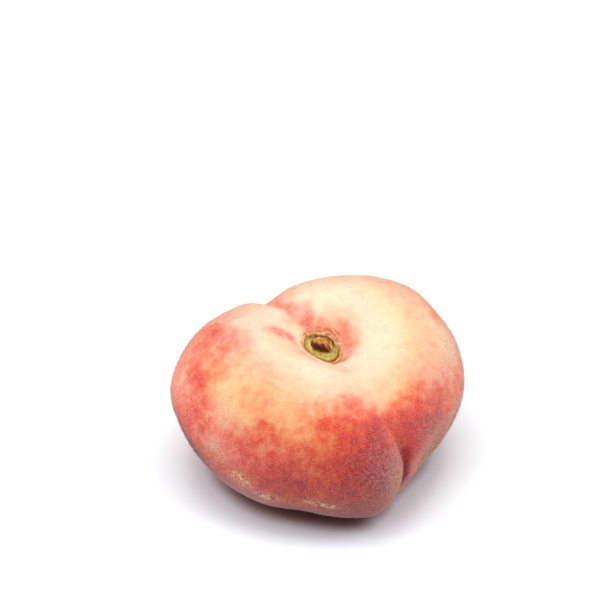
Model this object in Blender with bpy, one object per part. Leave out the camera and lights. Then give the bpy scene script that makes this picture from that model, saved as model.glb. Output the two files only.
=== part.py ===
"""Flat peach: a squat fruit of skin and flesh in one solid, with a deep leaning stalk socket,
a seam groove down its front right, and the torn stalk base left in the socket.

Lengths are in millimetres here and become metres when the meshes are made.  A bearing is
an angle round the upright axis, from the front (-Y) towards the right (+X)."""
import bpy
import numpy as np
from math import pi, radians

MM = 0.001

# The fruit's outline, one value every 30 degrees of bearing, starting at the front
BELLY_RADIUS = [35.0, 35.6, 32.0, 34.2, 34.4, 31.5, 27.6, 26.8, 31.6, 36.4, 34.4, 34.0]
BELLY_HEIGHT = [20.0, 20.0, 21.5, 22.0, 22.0, 21.0, 20.0, 20.0, 21.0, 22.0, 22.0, 21.0]
CROWN_RADIUS = [15.0, 17.0, 18.0, 18.5, 18.5, 17.0, 15.0, 14.5, 15.5, 16.0, 14.5, 14.0]
CROWN_HEIGHT = [38.0, 36.5, 36.8, 38.5, 41.0, 41.5, 39.2, 38.6, 36.6, 40.0, 39.5, 38.6]
MOUTH_RADIUS = [6.4, 7.4, 10.0, 10.8, 10.8, 10.2, 9.3, 9.0, 8.6, 6.8, 5.8, 5.8]
MOUTH_HEIGHT = [34.1, 33.2, 34.9, 36.4, 38.4, 39.1, 38.0, 36.5, 37.0, 36.2, 35.4, 34.9]
FOOT_RADIUS = [17.0, 17.0, 16.0, 15.0, 14.0, 13.0, 12.5, 12.5, 14.0, 15.0, 16.0, 17.0]
# Three low lobes (front, right and left-back) reach under zero and are cut flat there
FOOT_HEIGHT = [-1.6, 0.4, 0.9, 0.3, -1.0, 0.3, 0.8, 0.3, -1.0, 0.3, 0.4, -0.6]

# How full the profile is between its stations: shares of the step from one to the next
SIDE_FULLNESS = 0.66
SHOULDER_DROP = 0.24
UNDERBELLY_HEIGHT = 0.24
DIMPLE_WALL_HEIGHT = 0.62

# Stalk socket: its oval floor leans towards the front right.  Shares are of its radius.
FLOOR_HEIGHT = 33.0
FLOOR_RADIUS = [3.3, 4.5, 5.1, 4.8, 4.6, 4.4, 4.4, 4.5, 4.8, 4.6, 3.5, 3.1]
FLOOR_SLOPE = 0.42
FLOOR_BEARING = radians(20)
SEAT_SHARE = 0.9
SEAT_WALL_SHARE = 0.03
SEAT_DEPTH = 1.2
FOLD_RISE = 0.35
FOLD_WIDTH = 0.3

# Blossom end: a wide dimple underneath with a small corky button
DIMPLE_HEIGHT = 6.0
DIMPLE_RADIUS = 6.5
BUTTON_RISE = 0.7
BUTTON_RADIUS = 1.7

# Profile stations: the socket's centre, its floor's edge and mouth, the crown, shoulder,
# belly, underbelly and foot, the dimple's wall and its centre
CENTRE, FLOOR, MOUTH, CROWN = 0, 1, 2, 3
END = 9

# The seam groove: its bearing and how far it drifts in degrees, its depth and its width
SEAM_BEARING = radians(35)
SEAM_DRIFT = [-9, -9, -9, -9, -5.5, 0, 0, 0, 0, 0]
SEAM_DEPTH = [0.0, 0.0, 0.3, 0.25, 0.8, 2.4, 3.2, 1.8, 1.2, 0.0]
SEAM_WIDTH = [1.5, 2.0, 3.0, 3.0, 2.5, 3.0, 3.5, 3.0, 2.0, 1.5]
SEAM_LEFT_SHARE = 0.7

# The shorter crease at the back left, sharpest over the crown
CREASE_BEARING = radians(218.5)
CREASE_DEPTH = [0.0, 0.2, 1.5, 2.1, 1.7, 0.8, 0.4, 0.3, 0.2, 0.0]
CREASE_WIDTH = [0.8, 0.8, 1.5, 1.8, 2.0, 2.6, 3.0, 3.0, 2.0, 1.5]
CREASE_LEFT_SHARE = 1.7
GROOVE_BOTTOM = 0.35

# Swellings and hollows: bearing, half width in degrees, station, half span, rise
SWELLINGS = [
    (29, 11, 5.7, 1.2, 1.7),
    (350, 16, 5.9, 1.2, -1.8),
    (322, 20, 5.7, 1.2, -0.7),
    (58, 15, 5.6, 1.3, -1.9),
    (214, 12, 3.8, 1.0, -1.1),
]

# Stalk collar: share of the way in from its outer edge to its bore, height over the floor
COLLAR_PROFILE = [(0.0, -0.9), (0.0, -0.15), (0.13, 0.2), (0.42, 0.42), (0.71, 0.36),
                  (0.9, 0.1), (1.0, -0.3), (1.0, -0.9)]
COLLAR_GAP = 0.3
BORE_REACH = (2.65, 2.2)
BORE_CENTRE = (0.35, 0.95)

# Woody stub in the collar's bore
STUB_GAP = 0.3
STUB_FOOT = -0.9
STUB_SKIRT = -0.45
PLUG_CENTRE = (0.15, 1.1)
PLUG_REACH = (1.75, 1.3)
PLUG_RISE = 1.1
PLUG_LUMPS = 0.18
PLUG_LUMP_WAVES = (3.1, 2.7)
STUB_RING_SHARES = (0.2, 0.38, 0.54, 0.68, 0.8, 0.92, 1.0)

# Mesh fineness
FRUIT_COLUMNS = 104
COLLAR_COLUMNS = 40
STUB_COLUMNS = 32
STATION_STEPS = 5
SEAT_STATIONS = (0.45, SEAT_SHARE - SEAT_WALL_SHARE, SEAT_SHARE, 0.95)
MOUTH_STATIONS = (FLOOR, 1.06, 1.14, 1.3, 1.5, 1.75)
SHARP_EDGE = radians(50)
GROOVE_FINENESS = 2.2
GROOVE_SPAN = radians(9)


def around(table, bearing):
    """Smooth closed curve through a table of values set evenly round the fruit."""
    values = np.array(table)
    count = len(values)
    place = bearing / (2 * pi) * count
    cell = np.floor(place).astype(int)
    part = place - cell
    before = values[(cell - 1) % count]
    here = values[cell % count]
    after = values[(cell + 1) % count]
    beyond = values[(cell + 2) % count]
    rest = 1 - part
    return (rest ** 3 * before
            + (3 * part ** 3 - 6 * part ** 2 + 4) * here
            + (3 * rest ** 3 - 6 * rest ** 2 + 4) * after
            + part ** 3 * beyond) / 6


def along(values, slopes, station):
    """Cubic curve down the stations with the given slopes at them."""
    last = len(values) - 1
    cell = np.clip(np.floor(station).astype(int), 0, last - 1)
    part = (station - cell)[:, None]
    rise = part ** 2 * (3 - 2 * part)
    start = part * (1 - part) ** 2
    stop = part ** 2 * (part - 1)
    return (values[cell] * (1 - rise) + values[cell + 1] * rise
            + slopes[cell] * start + slopes[cell + 1] * stop)


def taper(table, station):
    """A groove's depth or width down the stations, one column of values."""
    values = np.array(table)[:, None]
    slopes = np.gradient(values, axis=0)
    return along(values, slopes, station)


def floor_height(x, y):
    """Height of the socket's leaning floor."""
    lean = np.sin(FLOOR_BEARING) * x - np.cos(FLOOR_BEARING) * y
    return FLOOR_HEIGHT - FLOOR_SLOPE * lean


def smooth_fruit(bearing, station):
    """Radius and height of the fruit before its grooves, on a grid of stations by bearings."""
    level = np.ones_like(bearing)
    belly, crown = around(BELLY_RADIUS, bearing), around(CROWN_RADIUS, bearing)
    top, middle = around(CROWN_HEIGHT, bearing), around(BELLY_HEIGHT, bearing)
    foot, sole = around(FOOT_RADIUS, bearing), around(FOOT_HEIGHT, bearing)
    edge = around(FLOOR_RADIUS, bearing)
    radius = np.array([
        0 * level,
        edge,
        around(MOUTH_RADIUS, bearing),
        crown,
        crown + SIDE_FULLNESS * (belly - crown),
        belly,
        foot + SIDE_FULLNESS * (belly - foot),
        foot,
        DIMPLE_RADIUS * level,
        0 * level])
    height = np.array([
        FLOOR_HEIGHT * level,
        floor_height(edge * np.sin(bearing), -edge * np.cos(bearing)),
        around(MOUTH_HEIGHT, bearing),
        top,
        top - SHOULDER_DROP * (top - middle),
        middle,
        UNDERBELLY_HEIGHT * middle,
        sole,
        DIMPLE_WALL_HEIGHT * DIMPLE_HEIGHT * level,
        DIMPLE_HEIGHT * level])
    # Slopes at a station follow its neighbours and the shorter of its two spans
    step_r, step_h = np.diff(radius, axis=0), np.diff(height, axis=0)
    span = np.hypot(step_r, step_h)
    slope_r, slope_h = np.zeros_like(radius), np.zeros_like(height)
    share = 2 * np.minimum(span[:-1], span[1:]) / (span[:-1] + span[1:])
    slope_r[1:-1] = share * (step_r[:-1] + step_r[1:]) / 2
    slope_h[1:-1] = share * (step_h[:-1] + step_h[1:]) / 2
    slope_r[-1] = step_r[-1]
    radius, height = along(radius, slope_r, station), along(height, slope_h, station)
    # The socket's floor itself is plane
    on_floor = (station <= FLOOR)[:, None]
    flat_radius = edge * station[:, None]
    flat = floor_height(flat_radius * np.sin(bearing), -flat_radius * np.cos(bearing))
    return np.where(on_floor, flat_radius, radius), np.where(on_floor, flat, height)


def smooth_points(bearing, station):
    radius, height = smooth_fruit(bearing, station)
    return np.stack([radius * np.sin(bearing), -radius * np.cos(bearing), height], -1)


def wrapped(angle):
    return (angle + pi) % (2 * pi) - pi


def groove(bearing, station, radius, place, depths, widths, left_share):
    """Depth of a groove that runs down one bearing, sharp at its bottom."""
    turn = wrapped(bearing - place)
    offset = radius * np.sin(turn)
    width = taper(widths, station)
    width = np.where(offset < 0, width * left_share, width)
    away = np.sqrt(offset ** 2 + GROOVE_BOTTOM ** 2) - GROOVE_BOTTOM
    depth = taper(depths, station) * np.exp(-away / width)
    return np.where(np.cos(turn) > 0, depth, 0.0)


def skin_points(bearing, station):
    """The finished skin: the smooth fruit with its swellings, grooves, seat and flat feet."""
    points = smooth_points(bearing, station)
    small = 0.001
    lower = np.clip(station + small, CENTRE, END)
    upper = np.clip(station - small, CENTRE, END)
    down = smooth_points(bearing, lower) - smooth_points(bearing, upper)
    turn = smooth_points(bearing + small, station) - smooth_points(bearing - small, station)
    outward = np.cross(down, turn)
    length = np.linalg.norm(outward, axis=-1, keepdims=True)
    outward = outward / np.maximum(length, 1e-9)
    radius = np.hypot(points[..., 0], points[..., 1])

    rise = np.zeros_like(radius)
    for degrees, half_width, centre, half_span, height in SWELLINGS:
        turned = wrapped(bearing - radians(degrees)) / radians(half_width)
        moved = (station - centre)[:, None] / half_span
        rise += height * np.exp(-turned ** 2) * np.exp(-moved ** 2)
    seam = SEAM_BEARING + np.radians(taper(SEAM_DRIFT, station))
    rise -= groove(bearing, station, radius, seam, SEAM_DEPTH, SEAM_WIDTH, SEAM_LEFT_SHARE)
    rise -= groove(bearing, station, radius, CREASE_BEARING, CREASE_DEPTH, CREASE_WIDTH,
                   CREASE_LEFT_SHARE)
    points += outward * rise[..., None]

    # The folded skin round the stalk, the seat it sits in, and the corky button below
    upper_half = (station < CROWN)[:, None]
    edge = around(FLOOR_RADIUS, bearing)
    fold = FOLD_RISE * np.exp(-((radius - edge) / FOLD_WIDTH) ** 2)
    seat = SEAT_DEPTH * np.clip((SEAT_SHARE - radius / edge) / SEAT_WALL_SHARE, 0, 1)
    button = BUTTON_RISE * np.exp(-(radius / BUTTON_RADIUS) ** 4)
    points[..., 2] += np.where(upper_half, fold - seat, -button)
    points[..., 2] = np.maximum(points[..., 2], 0.0)
    return points


def groove_columns(count):
    """Bearings round the fruit, set closer together beside the two grooves."""
    fine = np.linspace(0, 2 * pi, 2001)
    density = np.ones_like(fine)
    for place in (SEAM_BEARING, CREASE_BEARING):
        density += GROOVE_FINENESS * np.exp(-(wrapped(fine - place) / GROOVE_SPAN) ** 2)
    steps = (density[1:] + density[:-1]) / 2
    total = np.concatenate([[0.0], np.cumsum(steps)])
    wanted = np.arange(count) / count * total[-1]
    return np.interp(wanted, total, fine)


def fruit_rows():
    """Stations of the rows: the seat's wall and fold, then even steps to the dimple."""
    rest = MOUTH + np.arange((END - MOUTH) * STATION_STEPS) / STATION_STEPS
    return np.concatenate([SEAT_STATIONS, MOUTH_STATIONS, rest])


def closed_by_poles(rings, top, bottom):
    """Faces of a stack of closed rings with a point at each end, facing outward."""
    rows, columns = rings.shape[:2]
    points = np.concatenate([rings.reshape(-1, 3), [top, bottom]])
    faces = []
    for row in range(rows - 1):
        for column in range(columns):
            beside = (column + 1) % columns
            start, under = row * columns, (row + 1) * columns
            faces.append((start + column, under + column, under + beside, start + beside))
    top_index, bottom_index = rows * columns, rows * columns + 1
    for column in range(columns):
        beside = (column + 1) % columns
        last = (rows - 1) * columns
        faces.append((top_index, column, beside))
        faces.append((bottom_index, last + beside, last + column))
    return points, faces


def closed_ring(rings):
    """Faces of a stack of closed rings whose last ring joins the first."""
    rows, columns = rings.shape[:2]
    faces = []
    for row in range(rows):
        start, under = row * columns, (row + 1) % rows * columns
        for column in range(columns):
            beside = (column + 1) % columns
            faces.append((start + column, under + column, under + beside, start + beside))
    return rings.reshape(-1, 3), faces


def leaning(x, y, height):
    """Points at a height over the socket's floor."""
    return np.stack([x, y, floor_height(x, y) + height], -1)


def collar():
    """The green collar: an oval ring that follows the floor's edge, its bore set off centre."""
    bearing = np.arange(COLLAR_COLUMNS) / COLLAR_COLUMNS * 2 * pi
    right, back = np.sin(bearing), -np.cos(bearing)
    outer = SEAT_SHARE * around(FLOOR_RADIUS, bearing) - COLLAR_GAP
    bore_x = BORE_CENTRE[0] + BORE_REACH[0] * right
    bore_y = BORE_CENTRE[1] + BORE_REACH[1] * back
    rings = []
    for inward, height in COLLAR_PROFILE:
        x = outer * right + inward * (bore_x - outer * right)
        y = outer * back + inward * (bore_y - outer * back)
        rings.append(leaning(x, y, height))
    points, faces = closed_ring(np.array(rings))
    return points, [face[::-1] for face in faces]


def stub_top(x, y):
    """Height of the torn stub's top: a low skirt with a lumpy plug standing on it."""
    away = np.hypot((x - PLUG_CENTRE[0]) / PLUG_REACH[0], (y - PLUG_CENTRE[1]) / PLUG_REACH[1])
    across, deep = PLUG_LUMP_WAVES
    lumps = PLUG_LUMPS * np.sin(across * x + 1) * np.cos(deep * y)
    return STUB_SKIRT + (PLUG_RISE + lumps) * np.exp(-away ** 4)


def stub():
    """The woody core of the stalk, seated in the collar's bore."""
    bearing = np.arange(STUB_COLUMNS) / STUB_COLUMNS * 2 * pi
    centre_x, centre_y = BORE_CENTRE
    reach_x, reach_y = BORE_REACH
    rings = []
    for share in STUB_RING_SHARES:
        x = centre_x + share * (reach_x - STUB_GAP) * np.sin(bearing)
        y = centre_y - share * (reach_y - STUB_GAP) * np.cos(bearing)
        rings.append(leaning(x, y, stub_top(x, y)))
    rings.append(leaning(x, y, STUB_FOOT))
    top = leaning(centre_x, centre_y, stub_top(centre_x, centre_y))
    bottom = leaning(centre_x, centre_y, STUB_FOOT)
    return closed_by_poles(np.array(rings), top, bottom)


def fruit():
    bearing = groove_columns(FRUIT_COLUMNS)
    rings = skin_points(bearing, fruit_rows())
    ends = skin_points(bearing[:1], np.array([float(CENTRE), float(END)]))
    return closed_by_poles(rings, ends[0, 0], ends[1, 0])


def add_piece(name, points, faces, origin, colour, roughness):
    """One named object with its own material, its points moved to the row's origin."""
    mesh = bpy.data.meshes.new(name)
    mesh.from_pydata(((points - origin) * MM).tolist(), [], faces)
    mesh.shade_smooth()
    mesh.set_sharp_from_angle(angle=SHARP_EDGE)
    material = bpy.data.materials.new(name)
    material.use_nodes = True
    surface = material.node_tree.nodes["Principled BSDF"]
    surface.inputs["Base Color"].default_value = (*colour, 1.0)
    surface.inputs["Roughness"].default_value = roughness
    surface.inputs["Metallic"].default_value = 0.0
    mesh.materials.append(material)
    piece = bpy.data.objects.new(name, mesh)
    bpy.context.collection.objects.link(piece)


for old in list(bpy.data.objects):
    bpy.data.objects.remove(old, do_unlink=True)

fruit_points, fruit_faces = fruit()
low, high = fruit_points.min(axis=0), fruit_points.max(axis=0)
ground_centre = np.array([(low[0] + high[0]) / 2, (low[1] + high[1]) / 2, 0.0])
add_piece("fruit", fruit_points, fruit_faces, ground_centre, (0.80, 0.36, 0.20), 0.62)
add_piece("stalk_collar", *collar(), ground_centre, (0.55, 0.50, 0.14), 0.55)
add_piece("stalk_stub", *stub(), ground_centre, (0.26, 0.12, 0.035), 0.75)
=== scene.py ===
from math import pi, radians

import bpy
import numpy as np
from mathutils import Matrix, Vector


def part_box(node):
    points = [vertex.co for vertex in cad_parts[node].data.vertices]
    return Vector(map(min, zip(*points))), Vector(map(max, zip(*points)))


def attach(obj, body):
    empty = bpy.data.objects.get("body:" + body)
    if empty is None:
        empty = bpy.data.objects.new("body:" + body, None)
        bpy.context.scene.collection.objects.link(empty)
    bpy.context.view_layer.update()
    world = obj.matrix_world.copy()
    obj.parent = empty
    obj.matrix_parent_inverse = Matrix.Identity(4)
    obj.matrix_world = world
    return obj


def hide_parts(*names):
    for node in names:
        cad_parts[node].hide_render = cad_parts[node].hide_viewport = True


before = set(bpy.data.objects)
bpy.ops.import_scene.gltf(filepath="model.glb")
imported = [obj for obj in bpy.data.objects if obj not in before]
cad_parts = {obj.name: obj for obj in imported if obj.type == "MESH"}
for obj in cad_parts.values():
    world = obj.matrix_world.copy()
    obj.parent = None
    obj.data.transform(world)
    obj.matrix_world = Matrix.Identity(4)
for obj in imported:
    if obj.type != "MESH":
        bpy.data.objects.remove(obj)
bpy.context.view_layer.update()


# Skin and flesh.
# A ripe flat peach is one body of flesh in a thin downy skin, squat and lobed, with a deep
# socket where the stalk held it.  The seam and the crease are where its two halves grew
# together.  Lengths are in millimetres; a bearing runs from the front towards the right.
MM = 0.001
# Every 30 degrees round the fruit, from the front
BELLY_RADIUS = [35.0, 35.6, 32.0, 34.2, 34.4, 31.5, 27.6, 26.8, 31.6, 36.4, 34.4, 34.0]
BELLY_HEIGHT = [20.0, 20.0, 21.5, 22.0, 22.0, 21.0, 20.0, 20.0, 21.0, 22.0, 22.0, 21.0]
CROWN_RADIUS = [15.0, 17.0, 18.0, 18.5, 18.5, 17.0, 15.0, 14.5, 15.5, 16.0, 14.5, 14.0]
CROWN_HEIGHT = [38.0, 36.5, 36.8, 38.5, 41.0, 41.5, 39.2, 38.6, 36.6, 40.0, 39.5, 38.6]
MOUTH_RADIUS = [6.4, 7.4, 10.0, 10.8, 10.8, 10.2, 9.3, 9.0, 8.6, 6.8, 5.8, 5.8]
MOUTH_HEIGHT = [34.1, 33.2, 34.9, 36.4, 38.4, 39.1, 38.0, 36.5, 37.0, 36.2, 35.4, 34.9]
FOOT_RADIUS = [17.0, 17.0, 16.0, 15.0, 14.0, 13.0, 12.5, 12.5, 14.0, 15.0, 16.0, 17.0]
FOOT_HEIGHT = [-1.6, 0.4, 0.9, 0.3, -1.0, 0.3, 0.8, 0.3, -1.0, 0.3, 0.4, -0.6]
FLOOR_RADIUS = [3.3, 4.5, 5.1, 4.8, 4.6, 4.4, 4.4, 4.5, 4.8, 4.6, 3.5, 3.1]
SIDE_FULLNESS = 0.66
SHOULDER_DROP = 0.24
UNDERBELLY_HEIGHT = 0.24
DIMPLE_WALL_HEIGHT = 0.62
FLOOR_HEIGHT = 33.0
FLOOR_SLOPE = 0.42
FLOOR_BEARING = radians(20)
SEAT_SHARE = 0.9
SEAT_WALL_SHARE = 0.03
SEAT_DEPTH = 1.2
FOLD_RISE = 0.35
FOLD_WIDTH = 0.3
DIMPLE_HEIGHT = 6.0
DIMPLE_RADIUS = 6.5
BUTTON_RISE = 0.7
BUTTON_RADIUS = 1.7
# Stations down the skin: 0 socket's centre, 1 edge of its floor, 2 mouth, 3 crown, 4 shoulder,
# 5 belly, 6 underbelly, 7 foot, 8 wall of the dimple at the blossom end, 9 its centre
CENTRE, FLOOR, CROWN, END = 0, 1, 3, 9
SEAM_BEARING = radians(35)
SEAM_DRIFT = [-9, -9, -9, -9, -5.5, 0, 0, 0, 0, 0]
SEAM_DEPTH = [0.0, 0.0, 0.3, 0.25, 0.8, 2.4, 3.2, 1.8, 1.2, 0.0]
SEAM_WIDTH = [1.5, 2.0, 3.0, 3.0, 2.5, 3.0, 3.5, 3.0, 2.0, 1.5]
SEAM_LEFT_SHARE = 0.7
CREASE_BEARING = radians(218.5)
CREASE_DEPTH = [0.0, 0.2, 1.5, 2.1, 1.7, 0.8, 0.4, 0.3, 0.2, 0.0]
CREASE_WIDTH = [0.8, 0.8, 1.5, 1.8, 2.0, 2.6, 3.0, 3.0, 2.0, 1.5]
CREASE_LEFT_SHARE = 1.7
GROOVE_BOTTOM = 0.35
# Bearing, half width, station, half span, height
SWELLINGS = [
    (29, 11, 5.7, 1.2, 1.7),
    (350, 16, 5.9, 1.2, -1.8),
    (322, 20, 5.7, 1.2, -0.7),
    (58, 15, 5.6, 1.3, -1.9),
    (214, 12, 3.8, 1.0, -1.1),
]
SKIN_COLUMNS = 360
SKIN_ROWS_PER_STATION = 24
# First and last station and number of the fold's rows, and where the rest of the rows start
FOLD_ROWS = (0.915, 1.24, 24)
SKIN_START = 1.26
GROOVE_STEPS = 2000
GROOVE_FINENESS = 2.2
GROOVE_SPAN = radians(9)
UNEVEN_FLESH = 0.10
UNEVEN_SIZE = 13.0
SMALL_DIMPLES = 0.02
SMALL_DIMPLE_SIZE = 3.2
UNEVEN_STATIONS = (1.3, 2.5, 5.9, 6.62)
UNEVEN_SHARES = (0.0, 1.0, 1.0, 0.1)
SOCKET_WRINKLES = 0.07
WRINKLE_SIZE = 0.28
WRINKLE_DRIFT = (0.02, 0.03, 0.0)
WRINKLE_STATION = 1.45
WRINKLE_SPAN = 0.4


def around(table, bearing):
    """Smooth closed curve through a table of values set evenly round the fruit."""
    values = np.array(table)
    count = len(values)
    place = bearing / (2 * pi) * count
    cell = np.floor(place).astype(int)
    part = place - cell
    before = values[(cell - 1) % count]
    here = values[cell % count]
    after = values[(cell + 1) % count]
    beyond = values[(cell + 2) % count]
    rest = 1 - part
    return (rest ** 3 * before
            + (3 * part ** 3 - 6 * part ** 2 + 4) * here
            + (3 * rest ** 3 - 6 * rest ** 2 + 4) * after
            + part ** 3 * beyond) / 6


def along(values, slopes, station):
    """Cubic curve down the stations with the given slopes at them."""
    last = len(values) - 1
    cell = np.clip(np.floor(station).astype(int), 0, last - 1)
    part = (station - cell)[:, None]
    rise = part ** 2 * (3 - 2 * part)
    start = part * (1 - part) ** 2
    stop = part ** 2 * (part - 1)
    return (values[cell] * (1 - rise) + values[cell + 1] * rise
            + slopes[cell] * start + slopes[cell + 1] * stop)


def taper(table, station):
    """A groove's depth or width down the stations, one column of values."""
    values = np.array(table)[:, None]
    return along(values, np.gradient(values, axis=0), station)


def floor_height(x, y):
    """Height of the socket's leaning floor."""
    lean = np.sin(FLOOR_BEARING) * x - np.cos(FLOOR_BEARING) * y
    return FLOOR_HEIGHT - FLOOR_SLOPE * lean


def smooth_points(bearing, station):
    """The fruit before its grooves: a grid of points, stations by bearings."""
    level = np.ones_like(bearing)
    belly, crown = around(BELLY_RADIUS, bearing), around(CROWN_RADIUS, bearing)
    top, middle = around(CROWN_HEIGHT, bearing), around(BELLY_HEIGHT, bearing)
    foot, sole = around(FOOT_RADIUS, bearing), around(FOOT_HEIGHT, bearing)
    edge = around(FLOOR_RADIUS, bearing)
    radius = np.array([
        0 * level,
        edge,
        around(MOUTH_RADIUS, bearing),
        crown,
        crown + SIDE_FULLNESS * (belly - crown),
        belly,
        foot + SIDE_FULLNESS * (belly - foot),
        foot,
        DIMPLE_RADIUS * level,
        0 * level])
    height = np.array([
        FLOOR_HEIGHT * level,
        floor_height(edge * np.sin(bearing), -edge * np.cos(bearing)),
        around(MOUTH_HEIGHT, bearing),
        top,
        top - SHOULDER_DROP * (top - middle),
        middle,
        UNDERBELLY_HEIGHT * middle,
        sole,
        DIMPLE_WALL_HEIGHT * DIMPLE_HEIGHT * level,
        DIMPLE_HEIGHT * level])
    # Slopes at a station follow its neighbours and the shorter of its two spans
    step_r, step_h = np.diff(radius, axis=0), np.diff(height, axis=0)
    span = np.hypot(step_r, step_h)
    slope_r, slope_h = np.zeros_like(radius), np.zeros_like(height)
    share = 2 * np.minimum(span[:-1], span[1:]) / (span[:-1] + span[1:])
    slope_r[1:-1] = share * (step_r[:-1] + step_r[1:]) / 2
    slope_h[1:-1] = share * (step_h[:-1] + step_h[1:]) / 2
    slope_r[-1] = step_r[-1]
    radius, height = along(radius, slope_r, station), along(height, slope_h, station)
    on_floor = (station <= FLOOR)[:, None]
    radius = np.where(on_floor, edge * station[:, None], radius)
    x, y = radius * np.sin(bearing), -radius * np.cos(bearing)
    return np.stack([x, y, np.where(on_floor, floor_height(x, y), height)], -1)


def wrapped(angle):
    return (angle + pi) % (2 * pi) - pi


def groove(bearing, station, radius, place, depths, widths, left_share):
    """Depth of a groove that runs down one bearing, sharp at its bottom."""
    turn = wrapped(bearing - place)
    offset = radius * np.sin(turn)
    width = taper(widths, station)
    width = np.where(offset < 0, width * left_share, width)
    away = np.sqrt(offset ** 2 + GROOVE_BOTTOM ** 2) - GROOVE_BOTTOM
    depth = taper(depths, station) * np.exp(-away / width)
    return np.where(np.cos(turn) > 0, depth, 0.0)


def ripples(points, size, seed, waves=20):
    """Smooth unevenness of about unit height whose bumps are about the given size."""
    chance = np.random.default_rng(seed)
    total = np.zeros(points.shape[:-1])
    for _ in range(waves):
        direction = chance.normal(size=3)
        direction /= np.linalg.norm(direction) * size * chance.uniform(0.7, 1.5)
        total += np.sin(points @ direction * 2 * pi + chance.uniform(0, 2 * pi))
    return total / np.sqrt(waves / 2)


def skin_points(bearing, station):
    """The finished skin and the way it faces: lobes, grooves, wrinkles, seat and flat feet."""
    points = smooth_points(bearing, station)
    small = 0.001
    lower = np.clip(station + small, CENTRE, END)
    upper = np.clip(station - small, CENTRE, END)
    down = smooth_points(bearing, lower) - smooth_points(bearing, upper)
    turn = smooth_points(bearing + small, station) - smooth_points(bearing - small, station)
    outward = np.cross(down, turn)
    outward /= np.maximum(np.linalg.norm(outward, axis=-1, keepdims=True), 1e-9)
    radius = np.hypot(points[..., 0], points[..., 1])
    stations = station[:, None]

    rise = UNEVEN_FLESH * ripples(points, UNEVEN_SIZE, seed=3)
    rise += SMALL_DIMPLES * ripples(points, SMALL_DIMPLE_SIZE, seed=4)
    rise *= np.interp(stations, UNEVEN_STATIONS, UNEVEN_SHARES)
    for degrees, half_width, centre, half_span, height in SWELLINGS:
        turned = wrapped(bearing - radians(degrees)) / radians(half_width)
        moved = (stations - centre) / half_span
        rise += height * np.exp(-turned ** 2) * np.exp(-moved ** 2)
    seam = SEAM_BEARING + np.radians(taper(SEAM_DRIFT, station))
    rise -= groove(bearing, station, radius, seam, SEAM_DEPTH, SEAM_WIDTH, SEAM_LEFT_SHARE)
    rise -= groove(bearing, station, radius, CREASE_BEARING, CREASE_DEPTH, CREASE_WIDTH,
                   CREASE_LEFT_SHARE)
    creased = np.stack([np.sin(bearing), np.cos(bearing), 0 * bearing], -1)
    drifted = creased[None] + stations[..., None] * np.array(WRINKLE_DRIFT)
    near_socket = np.exp(-((stations - WRINKLE_STATION) / WRINKLE_SPAN) ** 2)
    rise += SOCKET_WRINKLES * ripples(drifted, WRINKLE_SIZE, seed=8) * near_socket
    points += outward * rise[..., None]

    edge = around(FLOOR_RADIUS, bearing)
    fold = FOLD_RISE * np.exp(-((radius - edge) / FOLD_WIDTH) ** 2)
    seat = SEAT_DEPTH * np.clip((SEAT_SHARE - radius / edge) / SEAT_WALL_SHARE, 0, 1)
    button = BUTTON_RISE * np.exp(-(radius / BUTTON_RADIUS) ** 4)
    points[..., 2] += np.where(stations < CROWN, fold - seat, -button)
    points[..., 2] = np.maximum(points[..., 2], 0.0)
    return points, outward


def groove_columns(count):
    """Bearings round the fruit, set closer together beside the two grooves."""
    fine = np.linspace(0, 2 * pi, GROOVE_STEPS + 1)
    density = np.ones_like(fine)
    for place in (SEAM_BEARING, CREASE_BEARING):
        density += GROOVE_FINENESS * np.exp(-(wrapped(fine - place) / GROOVE_SPAN) ** 2)
    total = np.concatenate([[0.0], np.cumsum((density[1:] + density[:-1]) / 2)])
    return np.interp(np.arange(count) / count * total[-1], total, fine)


def closed_by_poles(rings, top, bottom):
    """Faces of a stack of closed rings with a point at each end, facing outward."""
    rows, columns = rings.shape[:2]
    points = np.concatenate([rings.reshape(-1, 3), [top, bottom]])
    start = np.arange(rows * columns).reshape(rows, columns)
    beside = np.roll(start, -1, axis=1)
    quads = np.stack([start[:-1], start[1:], beside[1:], beside[:-1]], -1).reshape(-1, 4)
    ends = rows * columns
    caps = [(ends, a, b) for a, b in zip(start[0].tolist(), beside[0].tolist())]
    caps += [(ends + 1, b, a) for a, b in zip(start[-1].tolist(), beside[-1].tolist())]
    return points, quads.tolist() + caps


# The stalk's axis stands where the solid collar's outline puts it
SOLID_COLLAR_SIDES = 40
SOLID_GAP = 0.3
turns = np.arange(SOLID_COLLAR_SIDES) / SOLID_COLLAR_SIDES * 2 * pi
reach = SEAT_SHARE * around(FLOOR_RADIUS, turns) - SOLID_GAP
outline = reach * [np.sin(turns), -np.cos(turns)]
collar_low, collar_high = np.array(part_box("stalk_collar"))
stalk_axis = np.zeros(3)
stalk_axis[:2] = (collar_low + collar_high)[:2] / 2
stalk_axis[:2] -= MM * (outline.min(axis=1) + outline.max(axis=1)) / 2


def make_piece(name, points, faces):
    """A smooth-shaded piece from points over the stalk's axis, riding on the fruit."""
    mesh = bpy.data.meshes.new(name)
    mesh.from_pydata((points * MM + stalk_axis).tolist(), [], faces)
    mesh.shade_smooth()
    piece = bpy.data.objects.new(name, mesh)
    bpy.context.collection.objects.link(piece)
    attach(piece, "root")
    return piece


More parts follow.
